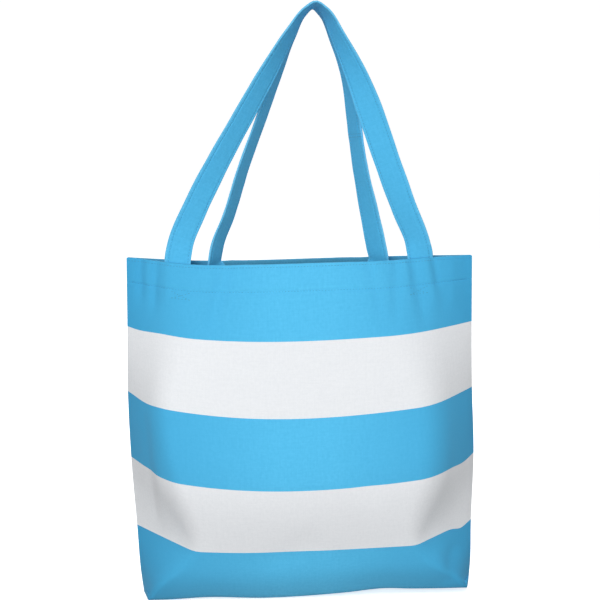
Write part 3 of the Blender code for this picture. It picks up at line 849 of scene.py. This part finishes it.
def thread_material():
    """Twisted thread: a little shine, and a fine noise for its ply."""
    material = bpy.data.materials.new("blue thread")
    material.use_nodes = True
    tree = material.node_tree
    shader = tree.nodes["Principled BSDF"]
    shader.inputs["Specular IOR Level"].default_value = 0.4
    shader.inputs["Sheen Weight"].default_value = 0.1
    place = tree.nodes.new("ShaderNodeTexCoord")
    ply = tree.nodes.new("ShaderNodeTexNoise")
    ply.inputs["Scale"].default_value = 2600.0
    ply.inputs["Detail"].default_value = 1.0
    join_up(tree, (place, "Object"), (ply, "Vector"))
    colour = mixed(tree, ply.outputs[0], (0.022, 0.185, 0.340), (0.044, 0.280, 0.490))
    tree.links.new(colour, shader.inputs["Base Color"])
    tree.links.new(maths(tree, "ADD", maths(tree, "MULTIPLY", ply.outputs[0], 0.2), 0.5),
                   shader.inputs["Roughness"])
    bumped(tree, shader, ply.outputs[0], 0.4, 0.00008)
    return material


STITCHES, THREAD = stitch_tree(), thread_material()


def sew(name, lines):
    """Lays stitches along every line; a line is a list of points and the way out of the cloth at each."""
    points, outs, edges = [], [], []
    for places, out in lines:
        start = len(points)
        points += [tuple(p) for p in places]
        outs += [tuple(o) for o in out]
        edges += [(k, k + 1) for k in range(start, start + len(places) - 1)]
    mesh = bpy.data.meshes.new(name + "_lines")
    mesh.from_pydata(points, edges, [])
    mesh.attributes.new("out", "FLOAT_VECTOR", "POINT").data.foreach_set(
        "vector", np.asarray(outs, np.float32).ravel())
    guide = bpy.data.objects.new(name + "_guide", mesh)
    bpy.context.scene.collection.objects.link(guide)
    modifier = guide.modifiers.new("stitches", "NODES")
    modifier.node_group = STITCHES
    wanted = {"Stitch length": STITCH, "Space": STITCH_SPACE, "Thread radius": THREAD_RADIUS,
              "Dip": STITCH_DIP, "Thread": THREAD}
    for item in STITCHES.interface.items_tree:
        if item.in_out == "INPUT" and item.name in wanted:
            modifier[item.identifier] = wanted[item.name]
    bpy.context.view_layer.update()
    evaluated = guide.evaluated_get(bpy.context.evaluated_depsgraph_get())
    sewn = bpy.data.meshes.new_from_object(evaluated)
    guide.modifiers.remove(modifier)
    bpy.data.objects.remove(guide)
    sewn.name = name
    sewn.shade_smooth()
    piece = bpy.data.objects.new(name, sewn)
    bpy.context.scene.collection.objects.link(piece)
    return piece


bag_lines = []
for side in (-1, 1):
    q = np.linspace(-0.985, 0.985, 260)
    for down in HEM_ROWS:
        places, out = under(q, RIM_PATH - down, side, -CLOTH / 2)
        bag_lines.append((places, out))
        places, out = under(q * HEM_TAPER, RIM_PATH - down, side, 2 * RIM_ROLL + CLOTH / 2)
        bag_lines.append((places, -out))
BOX_HALF, BOX_LOW, BOX_HIGH = 0.0095, 0.0368, 0.0300    # the crossed box over each sewn end
for label, side in (("front", -1), ("back", 1)):
    for foot in (ROUTES[label][0], ROUTES[label][-1]):
        left, right = foot[0] - BOX_HALF, foot[0] + BOX_HALF
        for x0, d0, x1, d1 in ((left, BOX_LOW, right, BOX_LOW), (left, BOX_LOW, right, BOX_HIGH),
                               (left, BOX_HIGH, right, BOX_LOW)):
            t = np.linspace(0, 1, 12)
            x = x0 + (x1 - x0) * t
            path = RIM_PATH - (d0 + (d1 - d0) * t)
            places, out = under(x / (RIM_LEFT if foot[0] < 0 else RIM_RIGHT), path, side, -CLOTH / 2)
            bag_lines.append((places, out))
bag_stitching = sew("bag_stitching", bag_lines)
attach(bag_stitching, "bag")
hem_rows = [f"{side}_hem_thread_{row}" for side in ("front", "back") for row in ("upper", "lower")]
end_boxes = [f"{side}_end_stitch_{place}" for side in ("front", "back") for place in ("left", "right")]
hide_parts(*hem_rows, *end_boxes)

for label, side in (("front", -1), ("back", 1)):
    strap = straps[label]
    lines = []
    for row in STITCH_ROWS:
        for face in (-1, 1):
            places = strap_place(side, strap, row, face * (STRAP_THICK - GROOVE))
            lines.append((places[1:-1], (strap.face * face)[1:-1]))
    if label in JOIN:
        right_leg = strap.centre[:, 0] > RIGHT_LEG
        for height in (JOIN[label] + 0.002, JOIN[label] - 0.003):
            k = int(np.argmin(np.where(right_leg, np.abs(strap.centre[:, 2] - height), 1)))
            offsets = np.linspace(-0.013, 0.013, 8)
            for face in (-1, 1):
                places = [strap.centre[k] + strap.width[k] * x + strap.face[k] * face * STRAP_THICK * 1.25
                          for x in offsets]
                lines.append((places, [strap.face[k] * face] * len(offsets)))
    piece = sew(f"{label}_handle_stitching", lines)
    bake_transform(piece)
    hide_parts(f"{label}_handle_thread_outer", f"{label}_handle_thread_inner")

# --------------------------------------------------------- floor, light, camera
# A pale seamless sweep, a soft key from the upper left, weaker lights low in front, at the right and
# behind, and an even white surround.
SWEEP_WIDTH, SWEEP_FRONT, SWEEP_BACK, SWEEP_HEIGHT, SWEEP_BEND = 60.0, -30.0, 4.0, 14.0, 1.2


def sweep():
    """A floor that curves up into a back wall."""
    profile = [(SWEEP_FRONT, 0.0)]
    profile += [(SWEEP_BACK - SWEEP_BEND + SWEEP_BEND * math.sin(a), SWEEP_BEND - SWEEP_BEND * math.cos(a))
                for a in np.linspace(0, math.pi / 2, 16)]
    profile.append((SWEEP_BACK, SWEEP_HEIGHT))
    points = [(x, y, z) for x in (-SWEEP_WIDTH / 2, SWEEP_WIDTH / 2) for y, z in profile]
    count = len(profile)
    faces = [(k, k + count, k + count + 1, k + 1) for k in range(count - 1)]
    mesh = bpy.data.meshes.new("studio_sweep")
    mesh.from_pydata(points, [], faces)
    mesh.shade_smooth()
    piece = bpy.data.objects.new("studio_sweep", mesh)
    bpy.context.scene.collection.objects.link(piece)
    material = bpy.data.materials.new("studio white")
    material.use_nodes = True
    shader = material.node_tree.nodes["Principled BSDF"]
    shader.inputs["Base Color"].default_value = (0.85, 0.85, 0.85, 1)
    shader.inputs["Roughness"].default_value = 0.9
    shader.inputs["Emission Color"].default_value = (1.0, 1.0, 1.0, 1)
    shader.inputs["Emission Strength"].default_value = 0.68
    mesh.materials.append(material)
    piece.visible_diffuse = False
    return piece


sweep()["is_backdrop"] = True


def soft_light(name, place, aim, size, power):
    """A square soft light at a place, aimed at a point."""
    light = bpy.data.lights.new(name, "AREA")
    light.size = size
    light.energy = power
    lamp = bpy.data.objects.new(name, light)
    lamp.location = place
    lamp.rotation_euler = (Vector(aim) - Vector(place)).to_track_quat("-Z", "Y").to_euler()
    bpy.context.scene.collection.objects.link(lamp)


AIM = (0.0, 0.0, 0.33)
soft_light("key", (-0.42, -1.55, 1.20), AIM, 0.8, 21.5)
soft_light("bounce", (-0.10, -1.40, 0.02), (0.0, 0.0, 0.12), 1.0, 4.5)
soft_light("fill", (1.20, -1.10, 0.35), (0.18, 0.0, 0.15), 1.0, 2.8)
soft_light("back", (0.5, 1.9, 1.8), AIM, 1.4, 44.0)
world = bpy.data.worlds.new("even surround")
world.use_nodes = True
world.node_tree.nodes["Background"].inputs["Color"].default_value = (1.0, 1.0, 1.0, 1)
SURROUND, SURROUND_SEEN = 0.34, 1.0          # strength as light, and as seen past the end of the sweep
seen = world.node_tree.nodes.new("ShaderNodeLightPath").outputs["Is Camera Ray"]
strength = maths(world.node_tree, "MULTIPLY", seen, SURROUND_SEEN - SURROUND)
strength = maths(world.node_tree, "ADD", strength, SURROUND)
world.node_tree.links.new(strength, world.node_tree.nodes["Background"].inputs["Strength"])
bpy.context.scene.world = world
bpy.context.scene.view_settings.view_transform = "Standard"

CAMERA_AIM = Vector((-0.003, 0.0, 0.3505))
CAMERA_AZIMUTH, CAMERA_ELEVATION, CAMERA_DISTANCE = math.radians(-3.16), math.radians(9.0), 1.638
camera = bpy.data.objects.new("camera", bpy.data.cameras.new("camera"))
camera.data.lens = 84.6
camera.data.sensor_width = 36.0
level = math.cos(CAMERA_ELEVATION) * CAMERA_DISTANCE
camera.location = CAMERA_AIM + Vector((math.sin(CAMERA_AZIMUTH) * level, -math.cos(CAMERA_AZIMUTH) * level,
                                       math.sin(CAMERA_ELEVATION) * CAMERA_DISTANCE))
camera.rotation_euler = (CAMERA_AIM - camera.location).to_track_quat("-Z", "Y").to_euler()
bpy.context.scene.collection.objects.link(camera)
bpy.context.scene.camera = camera

low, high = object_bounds()
